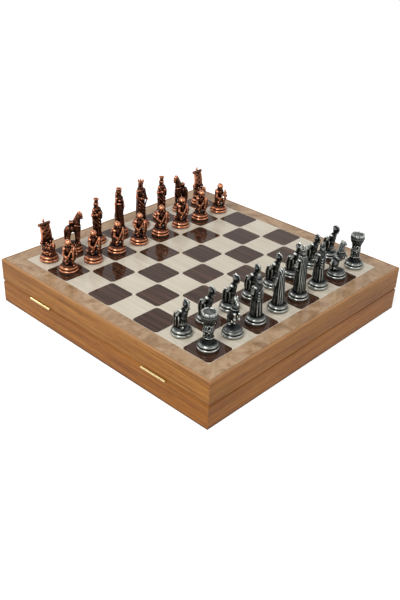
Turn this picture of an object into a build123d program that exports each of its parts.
"""Chess set: a hinged storage box whose lid is the board, and thirty-two cast metal figures.

Millimetres. +X runs along the files from a to h, +Y along the ranks from 1 to 8, +Z is up.
The origin is the middle of the box's flat underside. The hinges are on the -X side, the silver
figures stand on the -Y side and face +Y, and the copper figures stand on the +Y side and face -Y.
"""
import os
from math import cos, radians, sin

from build123d import *

# Board
SQUARES = 8
SQUARE = 39.25
DARK_CORNER = 4.5  # corner radius of a dark square
INLAY_GAP = 0.05  # all round a dark square
FIELD_MARGIN = 0.4  # light line round the outer squares
BORDER = 19.6  # burl strip between the light field and the groove
GROOVE = 0.5  # shadow line between the burl strip and the lip
BORDER_JOINT = 0.05  # glue line in each mitre of the burl strips
VENEER = 0.8
CORE = 6.0  # panel under the veneer
PANEL_GAP = 0.25  # between a panel's edge and its rebate

# Box rails
CASE_HEIGHT = 30.0
LID_HEIGHT = 31.0
RAIL = 10.0  # thickness of the side rails
LIP = 2.5  # rail that shows round the board
LIP_PROUD = 0.2  # lip above the board
LIP_ROUND = 1.2
SEAM_CHAMFER = 1.4
FOOT_CHAMFER = 0.6
BOTTOM_PANEL = 4.0
BOTTOM_REBATE = 5.0

# Inside of the box
LINING = 1.0
LINING_GAP = 0.2
DIVIDER = 6.0
DIVIDER_GAP = 0.1
DIVIDER_DROP = 0.5  # divider's top below the seam

# Hinges
HINGE_OFFSET = 100.0  # each hinge's middle from the middle of the side
HINGE_LENGTH = 38.0
HINGE_AXIS_OUT = 1.2  # axis outside the face of the box
BARREL_RADIUS = 1.5
BARREL_GAP = 0.25  # leaf plate to the other leaf's knuckles
KNUCKLES = 5
KNUCKLE_GAP = 0.2
LEAF = 0.8
LEAF_WIDTH = 8.0  # leaf from the face of the box inwards
LEAF_GAP = 0.1  # leaf's edge to its mortise
PIN_RADIUS = 0.75
PIN_CLEARANCE = 0.04
PIN_SET_BACK = 0.5
SCREW_PITCH = 24.0
SCREW_INSET = 4.6  # screws from the face of the box
SCREW_RADIUS = 0.9
SCREW_HEAD_RADIUS = 1.7
SCREW_LENGTH = 8.0
SCREW_CLEARANCE = 0.05

# Closing magnets
MAGNET_OFFSET = 110.0
MAGNET_RADIUS = 3.0
MAGNET_HEIGHT = 3.0
MAGNET_CLEARANCE = 0.05
MAGNET_SINK = 0.1

# Turned base of every figure
STANDING_GAP = 0.02  # felt pad above the board
FELT = 0.8
FELT_RADIUS = 11.0
BASE_RADIUS = 12.35
FLANGE_HEIGHT = 3.2
FLANGE_BULGE = 0.8
STEP_RADIUS = 10.8
DOME_RADIUS = 7.6
DOME_HEIGHT = 5.6
DOME_FULLNESS = 0.8  # share of the step that the dome keeps half way up
ROOTING = 0.8  # how far a figure is sunk into its base
JOINT_EASE = 0.1  # a limb starts this much slimmer than the end of the limb that it follows

# Robed figures: a section is half width, half depth and rise from the section below
COPPER_KING_ROBE = [
    (7.2, 6.6, 0), (6.4, 5.8, 14), (5.8, 4.8, 15), (7.0, 5.0, 11), (6.2, 4.2, 5), (2.5, 2.4, 3.6)]
COPPER_QUEEN_ROBE = [
    (7.2, 7.0, 0), (5.9, 5.6, 14), (5.2, 4.7, 13), (4.2, 3.7, 7.5), (5.1, 4.3, 6), (5.1, 3.5, 4), (2, 1.9, 3)]
COPPER_BISHOP_ROBE = [
    (6.6, 6.2, 0), (5.8, 5.4, 12.5), (5.8, 5, 9.5), (6.9, 5.2, 8), (6.7, 5, 5.3), (5, 4, 4.3), (2.3, 2.2, 2.5)]
SILVER_KING_ROBE = [
    (7.4, 7.2, 0), (6.8, 6.2, 14), (6.4, 5.5, 15), (7.0, 5.2, 11), (6.2, 4.4, 5), (2.5, 2.4, 3.6)]
SILVER_QUEEN_ROBE = [
    (7.4, 7.2, 0), (6.5, 6.1, 11), (6, 5.4, 12), (5.8, 4.9, 10), (4.5, 4.3, 6), (3.2, 3.1, 4.6), (1, 1, 2.4)]
SILVER_BISHOP_ROBE = [
    (7.2, 7.0, 0), (6.2, 5.8, 12.2), (5.8, 5.1, 11.2), (6.6, 5.2, 10.2), (5.5, 4.3, 4.6), (2.3, 2.2, 2.8)]

# Arms of the robed figures: the shoulders' section counted from the top of the robe, hands below the neck,
# hands from the middle, and how much wider the sleeve is at the elbow
ARM_RADIUS = 1.7
HAND_RADIUS = 1.3
COPPER_KING_ARMS = (2, 15.0, 3.0, 1.0)
COPPER_QUEEN_ARMS = (2, 13.0, 1.4, 1.25)
COPPER_BISHOP_ARMS = (2, 11.0, 2.0, 1.3)
SILVER_KING_ARMS = (2, 15.0, 2.0, 1.05)
SILVER_QUEEN_ARMS = (4, 22.0, 1.4, 1.0)
SILVER_BISHOP_ARMS = (2, 12.0, 1.8, 1.2)

# Heads and head-dresses
HEAD_RADIUS = 3.3
HEAD_SINK = 0.5  # head into the neck
BROW = 1.2  # head-dress starts this far above the middle of the head
KING_CROWN_RADIUS = 3.9
KING_CROWN_BAND = 3.2
KING_CROWN_POINTS = 6
KING_POINT_HEIGHT = 4.4
KING_POINT_SPREAD = 0.9  # a point's width as a share of its room on the band
KING_POINT_TIP = 0.3
QUEEN_BROW_RADIUS = 3.0
QUEEN_CROWN_RADIUS = 4.0
QUEEN_CROWN_HEIGHT = 6.0
VEIL_RADIUS = 3.0
VEIL_BACK = (1.6, 3.0)  # behind the figure's axis, at the head and at the lower end
VEIL_DROP = 9.0  # lower end below the neck
HAT_BROW_RADIUS = 2.8
HAT_RADIUS = 4.2
HAT_HEIGHT = 6.6
MITRE_HEIGHT = 7.0
MITRE_MIDDLE = 3.4  # height of its widest section
MITRE_SECTIONS = [(3.3, 3.1), (3.8, 2.6), (1.0, 0.8)]  # half width and half depth

# Copper king's cloak and sword
CLOAK_WIDTH = 7.6
CLOAK_DEPTH = 3.2
CLOAK_BACK = 3.4  # cloak's middle behind the figure's axis
CLOAK_SHOULDERS = (5.7, 2.2)  # half width and half depth at the top
CLOAK_LEAN = 1.0  # how much nearer the axis the top is
CLOAK_DROP = 2.2  # top below the neck
SWORD_DROP = 21.0  # hilt below the neck
SWORD_RADIUS = 1.0
SWORD_TIP = 8.0  # tip above the foot
HILT_RADIUS = 0.8
HILT_HALF_LENGTH = 2.2

# Copper rook: a ship under one square sail
HULL_HEIGHT = 15.0
HULL_KEEL = (4.4, 7.6)  # half width and half length
HULL_DECK = (6.8, 10.4)
SAIL_FOOT = 17.5  # width of the sail at its lower yard
SAIL_HEAD = 14.5
SAIL_HEIGHT = 23.5
SAIL_THICKNESS = 4.4
SAIL_LIFT = 1.2  # lower yard above the deck
SAIL_BACK = (3.0, 6.0)  # behind the figure's axis, at the lower and at the upper yard
YARD_RADIUS = 2.2
MAST_RADIUS = 1.4
MAST_TOP = 5.4  # mast above the upper yard
FLAG = (3.4, 1.4, 2.0)  # length, thickness and height
CASTLE_HEIGHT = 4.0
CASTLE_LENGTH = 6.0
CASTLE_WIDTH = 9.4
CASTLE_INSET = 1.6  # castle from the stern
PROW_FOOT = (7.3, 3.0)  # forward, and below the deck
PROW_RADII = (2.2, 1.2)

# Silver rook: a round tower
TOWER_FOOT_RADIUS = 7.0
TOWER_RADIUS = 6.1
TOWER_SHAFT = 26.0
TOWER_RING = 0.9
TOWER_RING_HEIGHTS = (5.2, 22.0)
CROWN_RADIUS = 8.6
CROWN_FLARE = 4.0
CROWN_WALL = 2.0
CROWN_HEIGHT = 7.6
CROWN_FLOOR = 0.3  # floor below the foot of the crenels
CRENELS = 8
CRENEL_WIDTH = 1.8
CRENEL_DEPTH = 1.4

# Horses: points are forward, rise from the foot and radius
STANDING_TRUNK = [(-4.2, 22.5, 4.4), (5.4, 22.0, 4.6)]
STANDING_NECK = [(5.4, 22.0, 4.3), (7.8, 43.4, 2.8), (10.0, 37.2, 1.7)]  # chest, poll and muzzle
STANDING_FORELEG = [(5.2, 20.0, 2.6), (5.4, 2.0, 2.0)]
STANDING_HINDLEG = [(-5.2, 20.5, 2.8), (-6.6, 2.0, 1.9)]
STANDING_TAIL = [(-7.8, 23.0, 1.6), (-9.2, 2.0, 1.3)]
STANDING_SADDLE = [(-3.0, 28.6, 2.8), (-0.8, 29.4, 2.6)]
REARING_TRUNK = [(-4.6, 13.0, 4.9), (2.6, 22.0, 4.6)]
REARING_NECK = [(2.6, 22.0, 4.0), (3.6, 38.4, 2.6), (9.2, 34.4, 1.6)]
REARING_FORELEG = [(4.4, 22.0, 2.0), (8.8, 23.4, 1.5), (8.0, 17.0, 1.2)]
REARING_HINDLEG = [(-3.6, 11.0, 2.8), (-6.8, 6.0, 1.7), (-3.6, 1.0, 1.5)]
REARING_TAIL = [(-9.0, 14.0, 1.7), (-9.4, 1.0, 1.3)]
HORSE_LEGS_APART = 2.5  # each leg from the middle
EAR_APART = 1.4
EAR_HEIGHT = 3.2
EAR_LEAN = 0.5
EAR_RADII = (0.9, 0.35)
ROCK_HEIGHT = 3.0
ROCK_SPREAD = 1.5  # rock's foot beyond the top of the dome

# Kneeling soldiers: points are forward, rise from the foot and radius
SOLDIER_HIPS = (-2.0, 9.0, 4.4)
SOLDIER_CHEST = (20.5, 4.8)  # rise and radius
SOLDIER_NECK = 2.6
SOLDIER_HEAD = 8.6  # above the chest
RAISED_LEG = [(-1.0, 8.0, 2.8), (6.6, 9.4, 2.1), (6.4, 1.0, 1.8)]
KNEELING_LEG = [(-1.0, 8.0, 2.8), (2.0, 2.0, 2.2), (-7.0, 2.0, 1.8)]
SOLDIER_LEGS_APART = 3.0
SOLDIER_SHOULDER = (4.4, 0.0, 2.0, 2.0)  # sideways, forward and up from the chest, and radius
SOLDIER_ELBOW = (6.6, 3.0, -5.0, 1.6)
SOLDIER_HAND = 1.4
HELMET_RISE = 0.9
HELMET_WALL = 0.8
COPPER_PAWN_LEAN = (0.6, 1.6)  # chest and head forward of the figure's axis
SILVER_PAWN_LEAN = (-3.4, -4.4)
SHIELD = (4.6, 9.6, 1.8)  # half width, half height and thickness
SHIELD_PLACE = (-6.4, 6.2, 15.6)
SHIELD_TURN = 42.0  # to the left of the front
BLADE_RADIUS = 0.8
BLADE_POINTS = [(5.2, 4.6, 9.0), (-1.0, 8.2, 23.0)]
BLADE_HAND = (4.2, 5.4, 11.4)
TALL_SHIELD_SECTIONS = [  # half width, half depth, out from the figure's axis and rise
    (4.4, 1.8, 5.4, 0.0), (5.2, 2.2, 6.0, 8.0), (4.8, 2.0, 5.8, 14.5), (2.4, 1.2, 5.2, 19.6)]
TALL_SHIELD_SLIDE = 1.5  # towards the front
TALL_SHIELD_TURN = 80.0  # to the left of the front
TALL_SHIELD_HAND = (-4.6, 2.4, 14.0)
KNEE_HAND = (3.6, 5.6, 12.0)  # other hand, on the raised knee
CREST_START = (1.5, 6.6, 1.3)  # forward and up from the head's middle, and radius
CREST_END = (-4.2, 2.4, 1.1)

# Turns of the figures about their own axes, in degrees, from facing the other side
KNIGHT_TURNS = {"copper": {"b": 50.0, "g": -100.0}, "silver": {"b": 180.0, "g": -110.0}}
PAWN_TURN = 12.0

# Places worked out from the sizes above
FIELD = SQUARES * SQUARE + 2 * FIELD_MARGIN
BOX = FIELD + 2 * (BORDER + GROOVE + LIP)
HALF = BOX / 2
SEAM = CASE_HEIGHT
LID_TOP = SEAM + LID_HEIGHT
BOARD_TOP = LID_TOP - LIP_PROUD
CORE_TOP = BOARD_TOP - VENEER
LEDGE = CORE_TOP - CORE
INSIDE = BOX - 2 * RAIL
AXIS_X = -HALF - HINGE_AXIS_OUT
BASE_HEIGHT = FELT + FLANGE_HEIGHT + DOME_HEIGHT
FOOT = BASE_HEIGHT - ROOTING
DECK = FOOT + HULL_HEIGHT
FLAT = (Align.CENTER, Align.CENTER, Align.MIN)
HANGING = (Align.CENTER, Align.CENTER, Align.MAX)
FILES = "abcdefgh"
RANK_ORDER = ["rook", "knight", "bishop", "queen", "king", "bishop", "knight", "rook"]


def block(x, y, z):
    """A box from (low, high) limits along each axis."""
    size = [high - low for low, high in (x, y, z)]
    middle = [(high + low) / 2 for low, high in (x, y, z)]
    return Pos(*middle) * Box(*size)


def side_wedge(depth):
    """The quarter of the box that lies behind its -X side, cut along the mitres."""
    corners = [(0, 0), (-depth, depth), (-depth, -depth)]
    return extrude(make_face(Polyline(*corners, close=True)), LID_TOP, dir=(0, 0, 1))


def mitred_rail(profile):
    """A rail of the -X side from a closed outline in the XZ plane, mitred at both ends."""
    section = make_face(Plane.XZ * profile)
    bar = Pos(0, -HALF, 0) * extrude(section, BOX, dir=(0, 1, 0))
    return bar & side_wedge(HALF + GROOVE)


def case_rail():
    shoulder = -HALF + RAIL
    rebate = shoulder - BOTTOM_REBATE
    return mitred_rail(Polyline(
        (-HALF, FOOT_CHAMFER), (-HALF, SEAM - SEAM_CHAMFER), (-HALF + SEAM_CHAMFER, SEAM), (shoulder, SEAM),
        (shoulder, BOTTOM_PANEL), (rebate, BOTTOM_PANEL), (rebate, 0), (-HALF + FOOT_CHAMFER, 0), close=True))


def lid_rail():
    shoulder = -HALF + RAIL
    lip = -HALF + LIP
    bend = LIP_ROUND * (1 - cos(radians(45)))
    corner = ThreePointArc(
        (-HALF, LID_TOP - LIP_ROUND), (-HALF + bend, LID_TOP - bend), (-HALF + LIP_ROUND, LID_TOP))
    rest = Polyline(
        (-HALF + LIP_ROUND, LID_TOP), (lip, LID_TOP), (lip, LEDGE), (shoulder, LEDGE), (shoulder, SEAM),
        (-HALF + SEAM_CHAMFER, SEAM), (-HALF, SEAM + SEAM_CHAMFER), (-HALF, LID_TOP - LIP_ROUND))
    return mitred_rail(corner + rest)


def hinge_middles():
    return [-HINGE_OFFSET, HINGE_OFFSET]


def screw_places(middle):
    across = -HALF + SCREW_INSET
    return [Pos(across, middle + end * SCREW_PITCH / 2, SEAM) for end in (-1, 1)]


def screw(clearance):
    """A countersunk screw pointing down, its head's rim at the origin's height."""
    head = Cone(SCREW_RADIUS + clearance, SCREW_HEAD_RADIUS + clearance, LEAF, align=HANGING)
    shank = Cylinder(SCREW_RADIUS + clearance, SCREW_LENGTH + clearance, align=HANGING)
    return head + shank


def upside_down(shape):
    """The shape turned over about the seam, for the lid's side of a fitting."""
    return mirror(shape, Plane.XY.offset(SEAM))


def leaf_mortises():
    x = (AXIS_X, -HALF + LEAF_WIDTH + LEAF_GAP)
    reach = HINGE_LENGTH / 2 + LEAF_GAP
    return [block(x, (middle - reach, middle + reach), (SEAM - LEAF, SEAM)) for middle in hinge_middles()]


def screw_holes():
    return [place * screw(SCREW_CLEARANCE) for middle in hinge_middles() for place in screw_places(middle)]


def magnet_places():
    across = HALF - RAIL / 2
    return [Pos(across, side * MAGNET_OFFSET, SEAM) for side in (-1, 1)]


def magnet_recesses():
    depth = MAGNET_HEIGHT + MAGNET_SINK
    return [p * Cylinder(MAGNET_RADIUS + MAGNET_CLEARANCE, depth, align=HANGING) for p in magnet_places()]


def hinge_leaf(middle, parity):
    """The lower leaf of a hinge, with every second knuckle from the given one on."""
    plate_start = AXIS_X + BARREL_RADIUS + BARREL_GAP
    ends = (middle - HINGE_LENGTH / 2, middle + HINGE_LENGTH / 2)
    thickness = (SEAM - LEAF, SEAM)
    leaf = block((plate_start, -HALF + LEAF_WIDTH), ends, thickness)
    pitch = HINGE_LENGTH / KNUCKLES
    along = Rot(90, 0, 0)
    for number in range(parity, KNUCKLES, 2):
        knuckle_middle = ends[0] + (number + 0.5) * pitch
        length = pitch - KNUCKLE_GAP
        span = (knuckle_middle - length / 2, knuckle_middle + length / 2)
        leaf += Pos(AXIS_X, knuckle_middle, SEAM) * along * Cylinder(BARREL_RADIUS, length)
        leaf += block((AXIS_X, plate_start), span, thickness)
    leaf -= Pos(AXIS_X, middle, SEAM) * along * Cylinder(PIN_RADIUS + PIN_CLEARANCE, 2 * HINGE_LENGTH)
    return leaf - [place * screw(SCREW_CLEARANCE) for place in screw_places(middle)]


def hinge_pin(middle):
    return Pos(AXIS_X, middle, SEAM) * Rot(90, 0, 0) * Cylinder(PIN_RADIUS, HINGE_LENGTH - 2 * PIN_SET_BACK)


def hinge_screws():
    return [place * screw(0) for middle in hinge_middles() for place in screw_places(middle)]


def sheet(side, bottom, thickness):
    return Pos(0, 0, bottom) * Box(side, side, thickness, align=FLAT)


def square_middle(file, rank):
    """Middle of a square of the board, counted from 0."""
    return (file - (SQUARES - 1) / 2) * SQUARE, (rank - (SQUARES - 1) / 2) * SQUARE


def dark_squares(gap):
    side = SQUARE - 2 * gap
    tile = extrude(RectangleRounded(side, side, DARK_CORNER - gap), VENEER)
    numbers = range(SQUARES)
    dark = [(file, rank) for file in numbers for rank in numbers if (file + rank) % 2 == 0]
    return [Pos(*square_middle(file, rank), CORE_TOP) * tile for file, rank in dark]


def border_strips():
    inner = -FIELD / 2
    bar = block((inner - BORDER, inner), (-HALF, HALF), (CORE_TOP, BOARD_TOP))
    strip = bar & Pos(-BORDER_JOINT / 2 / sin(radians(45)), 0, 0) * side_wedge(HALF)
    return [Rot(0, 0, 90 * turn) * strip for turn in range(4)]


def box_nodes():
    """Every piece of the box, by its node's name."""
    turns = {"hinge": 0, "silver": 90, "front": 180, "copper": 270}
    nodes = {}
    for side, turn in turns.items():
        nodes[f"case_{side}_rail"] = Rot(0, 0, turn) * case_rail()
        nodes[f"lid_{side}_rail"] = Rot(0, 0, turn) * lid_rail()
    hinge_cuts = leaf_mortises() + screw_holes()
    nodes["case_hinge_rail"] -= hinge_cuts
    nodes["lid_hinge_rail"] -= [upside_down(cut) for cut in hinge_cuts]
    nodes["case_front_rail"] -= magnet_recesses()
    nodes["lid_front_rail"] -= [upside_down(cut) for cut in magnet_recesses()]

    panel_side = INSIDE + 2 * (BOTTOM_REBATE - PANEL_GAP)
    lining_side = INSIDE - 2 * LINING_GAP
    lining_top = BOTTOM_PANEL + LINING
    divider_length = INSIDE - 2 * DIVIDER_GAP
    divider_height = SEAM - DIVIDER_DROP - lining_top
    nodes["case_bottom_panel"] = sheet(panel_side, 0, BOTTOM_PANEL)
    nodes["case_lining"] = sheet(lining_side, BOTTOM_PANEL, LINING)
    nodes["case_divider"] = Pos(0, 0, lining_top) * Box(divider_length, DIVIDER, divider_height, align=FLAT)

    nodes["board_core"] = sheet(BOX - 2 * (LIP + PANEL_GAP), LEDGE, CORE)
    nodes["board_light_field"] = sheet(FIELD, CORE_TOP, VENEER) - dark_squares(0)
    nodes["board_dark_squares"] = dark_squares(INLAY_GAP)
    nodes["board_burl_border"] = border_strips()
    nodes["lid_lining"] = sheet(lining_side, LEDGE - LINING, LINING)

    for end, middle in zip(("silver_end", "copper_end"), hinge_middles()):
        nodes[f"{end}_hinge_lower_leaf"] = hinge_leaf(middle, 0)
        nodes[f"{end}_hinge_upper_leaf"] = upside_down(hinge_leaf(middle, 1))
        nodes[f"{end}_hinge_pin"] = hinge_pin(middle)
    nodes["hinge_lower_screws"] = hinge_screws()
    nodes["hinge_upper_screws"] = [upside_down(one) for one in hinge_screws()]

    magnet = Pos(0, 0, -MAGNET_SINK) * Cylinder(MAGNET_RADIUS, MAGNET_HEIGHT, align=HANGING)
    case_magnets = [place * magnet for place in magnet_places()]
    nodes["case_magnets"] = case_magnets
    nodes["lid_magnets"] = [upside_down(one) for one in case_magnets]
    return nodes


def turned_base():
    flange_top = FELT + FLANGE_HEIGHT
    rim = BASE_RADIUS - FLANGE_BULGE
    bulge = ThreePointArc((rim, FELT), (BASE_RADIUS, FELT + FLANGE_HEIGHT / 2), (rim, flange_top))
    shoulder_radius = DOME_RADIUS + DOME_FULLNESS * (STEP_RADIUS - DOME_RADIUS)
    shoulder = (shoulder_radius, flange_top + DOME_HEIGHT / 2)
    dome = ThreePointArc((STEP_RADIUS, flange_top), shoulder, (DOME_RADIUS, BASE_HEIGHT))
    outline = bulge + Line((rim, flange_top), (STEP_RADIUS, flange_top)) + dome
    outline += Polyline((DOME_RADIUS, BASE_HEIGHT), (0, BASE_HEIGHT), (0, FELT), (rim, FELT))
    return revolve(make_face(Plane.XZ * outline), Axis.Z)


def felt_pad():
    return Cylinder(FELT_RADIUS, FELT, align=FLAT)


def limb(start, end, start_radius, end_radius=None):
    """A round-ended limb between two points."""
    end_radius = end_radius or start_radius
    start, end = Vector(*start), Vector(*end)
    length = (end - start).length
    half_root = sin(radians(45))
    start_bend = start_radius * half_root
    end_bend = end_radius * half_root
    tail = ThreePointArc((0, -start_radius), (start_bend, -start_bend), (start_radius, 0))
    side = Line((start_radius, 0), (end_radius, length))
    tip = ThreePointArc((end_radius, length), (end_bend, length + end_bend), (0, length + end_radius))
    axis = Line((0, length + end_radius), (0, -start_radius))
    upright = revolve(make_face(Plane.XZ * (tail + side + tip + axis)), Axis.Z)
    return Plane(origin=start, z_dir=end - start).location * upright


def limbs(points, across=0.0):
    """Limbs along (forward, rise, radius) points, all at one distance from the figure's middle."""
    parts = []
    ease = 0.0
    for (forward, rise, radius), (next_forward, next_rise, next_radius) in zip(points, points[1:]):
        start = (across, forward, FOOT + rise)
        end = (across, next_forward, FOOT + next_rise)
        parts.append(limb(start, end, radius - ease, next_radius))
        ease = JOINT_EASE
    return parts


def ball(place, radius):
    return Pos(*place) * Sphere(radius)


def robe(sections):
    """A lofted robe on the base, and the height of its neck."""
    height = FOOT
    outlines = []
    for half_width, half_depth, rise in sections:
        height += rise
        outlines.append(Pos(0, 0, height) * Ellipse(half_width, half_depth))
    return loft(outlines), height


def robed_arms(sections, neck, arms):
    """Two bent arms with the hands held in front of the body."""
    from_top, hand_drop, hand_apart, sleeve = arms
    half_width, half_depth, _ = sections[-from_top]
    shoulder = neck - sum(rise for _, _, rise in sections[1 - from_top:])
    elbow_radius = ARM_RADIUS * sleeve
    hand_height = neck - hand_drop
    parts = []
    for side in (-1, 1):
        start = (side * (half_width - ARM_RADIUS / 2), 0, shoulder)
        elbow = (side * (half_width + ARM_RADIUS / 2), half_depth / 3, (shoulder + hand_height) / 2)
        hand = (side * hand_apart, half_depth + HAND_RADIUS / 2, hand_height)
        parts.append(limb(start, elbow, ARM_RADIUS, elbow_radius))
        parts.append(limb(elbow, hand, elbow_radius - JOINT_EASE, HAND_RADIUS))
    return parts


def head_middle(neck):
    return neck + HEAD_RADIUS - HEAD_SINK


def standing_figure(sections, arms, dress):
    """A robed figure with its head and arms. dress(neck) gives the head-dress and what else it wears."""
    body, neck = robe(sections)
    head = ball((0, 0, head_middle(neck)), HEAD_RADIUS)
    return turned_base() + [body, head] + dress(neck) + robed_arms(sections, neck, arms)


def king_crown(neck):
    band_start = head_middle(neck) + BROW
    points_start = band_start + KING_CROWN_BAND
    point_radius = KING_CROWN_RADIUS * sin(radians(180 / KING_CROWN_POINTS)) * KING_POINT_SPREAD
    crown = [Pos(0, 0, band_start) * Cone(HEAD_RADIUS, KING_CROWN_RADIUS, KING_CROWN_BAND, align=FLAT)]
    reach = KING_CROWN_RADIUS - point_radius
    for number in range(KING_CROWN_POINTS):
        angle = radians(360 * number / KING_CROWN_POINTS)
        spot = Pos(reach * cos(angle), reach * sin(angle), points_start - KING_POINT_TIP)
        crown.append(spot * Cone(point_radius, KING_POINT_TIP, KING_POINT_HEIGHT, align=FLAT))
    return crown


def cloak(neck):
    """A cloak down the back, from the shoulders to the base."""
    hem = Pos(0, -CLOAK_BACK, FOOT) * Ellipse(CLOAK_WIDTH, CLOAK_DEPTH)
    shoulders = Pos(0, CLOAK_LEAN - CLOAK_BACK, neck - CLOAK_DROP) * Ellipse(*CLOAK_SHOULDERS)
    return loft([hem, shoulders])


def copper_king():
    def dress(neck):
        side = -COPPER_KING_ROBE[2][0] - ARM_RADIUS
        hilt_height = neck - SWORD_DROP
        tip = (side - SWORD_RADIUS, -CLOAK_BACK, FOOT + SWORD_TIP)
        blade = limb((side, ARM_RADIUS, hilt_height), tip, SWORD_RADIUS)
        hilt = limb((side - HILT_HALF_LENGTH, ARM_RADIUS, hilt_height),
                    (side + HILT_HALF_LENGTH, ARM_RADIUS + HILT_RADIUS, hilt_height), HILT_RADIUS)
        return king_crown(neck) + [cloak(neck), blade, hilt]
    return standing_figure(COPPER_KING_ROBE, COPPER_KING_ARMS, dress)


def copper_queen():
    def dress(neck):
        start = Pos(0, 0, head_middle(neck) + BROW)
        crown = start * Cone(QUEEN_BROW_RADIUS, QUEEN_CROWN_RADIUS, QUEEN_CROWN_HEIGHT, align=FLAT)
        veil = limb((0, -VEIL_BACK[0], head_middle(neck)), (0, -VEIL_BACK[1], neck - VEIL_DROP), VEIL_RADIUS)
        return [crown, veil]
    return standing_figure(COPPER_QUEEN_ROBE, COPPER_QUEEN_ARMS, dress)


def copper_bishop():
    def dress(neck):
        start = Pos(0, 0, head_middle(neck) + BROW)
        return [start * Cone(HAT_BROW_RADIUS, HAT_RADIUS, HAT_HEIGHT, align=FLAT)]
    return standing_figure(COPPER_BISHOP_ROBE, COPPER_BISHOP_ARMS, dress)


def silver_king():
    return standing_figure(SILVER_KING_ROBE, SILVER_KING_ARMS, king_crown)


def silver_queen():
    body, neck = robe(SILVER_QUEEN_ROBE)
    return turned_base() + [body] + robed_arms(SILVER_QUEEN_ROBE, neck, SILVER_QUEEN_ARMS)


def silver_bishop():
    def dress(neck):
        start = head_middle(neck) + BROW
        heights = (start, start + MITRE_MIDDLE, start + MITRE_HEIGHT)
        outlines = [Pos(0, 0, height) * Ellipse(*section) for section, height in zip(MITRE_SECTIONS, heights)]
        return [loft(outlines)]
    return standing_figure(SILVER_BISHOP_ROBE, SILVER_BISHOP_ARMS, dress)


def copper_rook():
    hull = loft([Pos(0, 0, FOOT) * Ellipse(*HULL_KEEL), Pos(0, 0, DECK) * Ellipse(*HULL_DECK)])
    castle_back = CASTLE_INSET - HULL_DECK[1]
    castle = block((-CASTLE_WIDTH / 2, CASTLE_WIDTH / 2), (castle_back, castle_back + CASTLE_LENGTH),
                   (DECK - CASTLE_HEIGHT / 2, DECK + CASTLE_HEIGHT))
    prow_forward, prow_drop = PROW_FOOT
    prow = limb((0, prow_forward, DECK - prow_drop), (0, HULL_DECK[1], DECK + CASTLE_HEIGHT), *PROW_RADII)
    sail_foot = DECK + SAIL_LIFT
    sail_head = sail_foot + SAIL_HEIGHT
    foot_back, head_back = SAIL_BACK
    sail = loft([Pos(0, -foot_back, sail_foot) * Rectangle(SAIL_FOOT, SAIL_THICKNESS),
                 Pos(0, -head_back, sail_head) * Rectangle(SAIL_HEAD, SAIL_THICKNESS)])
    yard_places = [(SAIL_FOOT, foot_back, sail_foot), (SAIL_HEAD, head_back, sail_head)]
    yards = [limb((-width / 2, -back, height), (width / 2, -back, height), YARD_RADIUS)
             for width, back, height in yard_places]
    mast_top = sail_head + MAST_TOP
    mast = limb((0, -foot_back, DECK), (0, -head_back, mast_top), MAST_RADIUS)
    flag_length, flag_thickness, flag_height = FLAG
    flag = block((0, flag_length), (-head_back - flag_thickness / 2, -head_back + flag_thickness / 2),
                 (mast_top - flag_height, mast_top))
    return turned_base() + [hull, castle, prow, sail, mast, flag] + yards


def silver_rook():
    crown_start = FOOT + TOWER_SHAFT
    wall_start = crown_start + CROWN_FLARE
    top = wall_start + CROWN_HEIGHT
    tower = Pos(0, 0, FOOT) * Cone(TOWER_FOOT_RADIUS, TOWER_RADIUS, TOWER_SHAFT, align=FLAT)
    flare = Pos(0, 0, crown_start) * Cone(TOWER_RADIUS, CROWN_RADIUS, CROWN_FLARE, align=FLAT)
    wall = Pos(0, 0, wall_start) * Cylinder(CROWN_RADIUS, CROWN_HEIGHT, align=FLAT)
    rings = [Pos(0, 0, FOOT + height) * Cylinder(TOWER_FOOT_RADIUS + TOWER_RING / 2, TOWER_RING)
             for height in TOWER_RING_HEIGHTS]
    body = turned_base() + [tower, flare, wall] + rings
    body -= Pos(0, 0, top) * Cylinder(CROWN_RADIUS - CROWN_WALL, CRENEL_DEPTH + CROWN_FLOOR, align=HANGING)
    notch = Pos(CROWN_RADIUS, 0, top) * Box(3 * CROWN_WALL, CRENEL_WIDTH, CRENEL_DEPTH, align=HANGING)
    return body - [Rot(0, 0, 360 * number / CRENELS) * notch for number in range(CRENELS)]


def horse(trunk, neck, foreleg, hindleg, tail):
    """A horse from the points of its trunk, neck and head, legs and tail."""
    parts = limbs(trunk) + limbs(neck) + limbs(tail)
    poll_forward, poll_rise, poll_radius = neck[1]
    ear_root = FOOT + poll_rise + poll_radius / 2
    for side in (-1, 1):
        parts += limbs(foreleg, side * HORSE_LEGS_APART) + limbs(hindleg, side * HORSE_LEGS_APART)
        parts.append(limb((side * EAR_APART, poll_forward, ear_root),
                          (side * EAR_APART, poll_forward - EAR_LEAN, ear_root + EAR_HEIGHT), *EAR_RADII))
    return parts


def copper_knight():
    rock = Pos(0, 0, FOOT) * Cone(DOME_RADIUS + ROCK_SPREAD, DOME_RADIUS, ROCK_HEIGHT, align=FLAT)
    parts = horse(STANDING_TRUNK, STANDING_NECK, STANDING_FORELEG, STANDING_HINDLEG, STANDING_TAIL)
    return turned_base() + [rock] + parts + limbs(STANDING_SADDLE)


def silver_knight():
    parts = horse(REARING_TRUNK, REARING_NECK, REARING_FORELEG, REARING_HINDLEG, REARING_TAIL)
    return turned_base() + parts


def above_foot(place):
    """A point given by its rise from the foot, as a point of the figure."""
    x, y, rise = place
    return x, y, FOOT + rise


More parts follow.
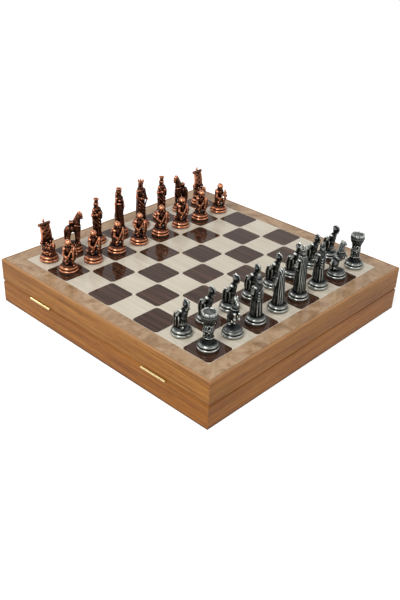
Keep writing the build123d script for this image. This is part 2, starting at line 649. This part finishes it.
def kneeling_soldier(lean, raised_side):
    """A soldier on one knee without arms: the parts, the chest's middle and the head's middle."""
    chest_rise, chest_radius = SOLDIER_CHEST
    chest_forward, head_forward = lean
    head = (head_forward, chest_rise + SOLDIER_HEAD, SOLDIER_NECK)
    parts = limbs([SOLDIER_HIPS, (chest_forward, chest_rise, chest_radius)])
    parts += limbs([(chest_forward, chest_rise, SOLDIER_NECK), head])
    apart = raised_side * SOLDIER_LEGS_APART
    parts += limbs(RAISED_LEG, apart) + limbs(KNEELING_LEG, -apart)
    head_place = above_foot((0, *head[:2]))
    return parts + [ball(head_place, HEAD_RADIUS)], above_foot((0, chest_forward, chest_rise)), head_place


def soldier_arm(chest, side, hand):
    """An arm from the shoulder over the elbow to the hand."""
    joints = []
    for sideways, forward, up, radius in (SOLDIER_SHOULDER, SOLDIER_ELBOW):
        joints.append(((side * sideways, chest[1] + forward, chest[2] + up), radius))
    (shoulder, shoulder_radius), (elbow, elbow_radius) = joints
    upper = limb(shoulder, elbow, shoulder_radius, elbow_radius)
    return [upper, limb(elbow, hand, elbow_radius - JOINT_EASE, SOLDIER_HAND)]


def helmet(head):
    return ball((head[0], head[1], head[2] + HELMET_RISE), HEAD_RADIUS + HELMET_WALL)


def copper_pawn():
    parts, chest, head = kneeling_soldier(COPPER_PAWN_LEAN, -1)
    blade = limb(*[above_foot(point) for point in BLADE_POINTS], BLADE_RADIUS)
    half_width, half_height, thickness = SHIELD
    shield_place = above_foot(SHIELD_PLACE)
    upright = Pos(*shield_place) * Rot(0, 0, SHIELD_TURN) * Rot(90, 0, 0)
    shield = upright * extrude(Ellipse(half_width, half_height), thickness / 2, both=True)
    parts += soldier_arm(chest, -1, shield_place) + soldier_arm(chest, 1, above_foot(BLADE_HAND))
    return turned_base() + parts + [helmet(head), blade, shield]


def silver_pawn():
    parts, chest, head = kneeling_soldier(SILVER_PAWN_LEAN, 1)
    (start_forward, start_up, start_radius), (end_forward, end_up, end_radius) = CREST_START, CREST_END
    crest_start = (0, head[1] + start_forward, head[2] + start_up)
    crest_end = (0, head[1] + end_forward, head[2] + end_up)
    crest = limb(crest_start, crest_end, start_radius, end_radius)
    shield = Rot(0, 0, TALL_SHIELD_TURN) * loft(
        [Pos(TALL_SHIELD_SLIDE, out, FOOT + rise) * Ellipse(half_width, half_depth)
         for half_width, half_depth, out, rise in TALL_SHIELD_SECTIONS])
    parts += soldier_arm(chest, -1, above_foot(TALL_SHIELD_HAND)) + soldier_arm(chest, 1, above_foot(KNEE_HAND))
    return turned_base() + parts + [helmet(head), crest, shield]


def figure_nodes():
    """Thirty-two figures on their squares, each with the felt pad under its base."""
    designs = {
        "copper": {"king": copper_king, "queen": copper_queen, "bishop": copper_bishop,
                   "knight": copper_knight, "rook": copper_rook, "pawn": copper_pawn},
        "silver": {"king": silver_king, "queen": silver_queen, "bishop": silver_bishop,
                   "knight": silver_knight, "rook": silver_rook, "pawn": silver_pawn},
    }
    sides = {"silver": (0, 1, 0), "copper": (SQUARES - 1, SQUARES - 2, 180)}
    nodes = {}
    for metal, (back_rank, pawn_rank, facing) in sides.items():
        castings = {kind: make() for kind, make in designs[metal].items()}
        for file, kind in enumerate(RANK_ORDER):
            for rank, piece in ((back_rank, kind), (pawn_rank, "pawn")):
                turn = facing
                if piece == "knight":
                    turn += KNIGHT_TURNS[metal][FILES[file]]
                if piece == "pawn":
                    turn += PAWN_TURN * (file % 3 - 1)
                place = Pos(*square_middle(file, rank), BOARD_TOP + STANDING_GAP) * Rot(0, 0, turn)
                name = f"{metal}_{piece}_{FILES[file]}{rank + 1}"
                nodes[name] = [place * castings[piece], place * felt_pad()]
    return nodes


def save(nodes):
    os.makedirs("parts", exist_ok=True)
    for name, shape in nodes.items():
        if isinstance(shape, list):
            shape = Compound(children=[solid for one in shape for solid in one.solids()])
        export_step(shape, os.path.join("parts", f"{name}.step"))


save(box_nodes() | figure_nodes())
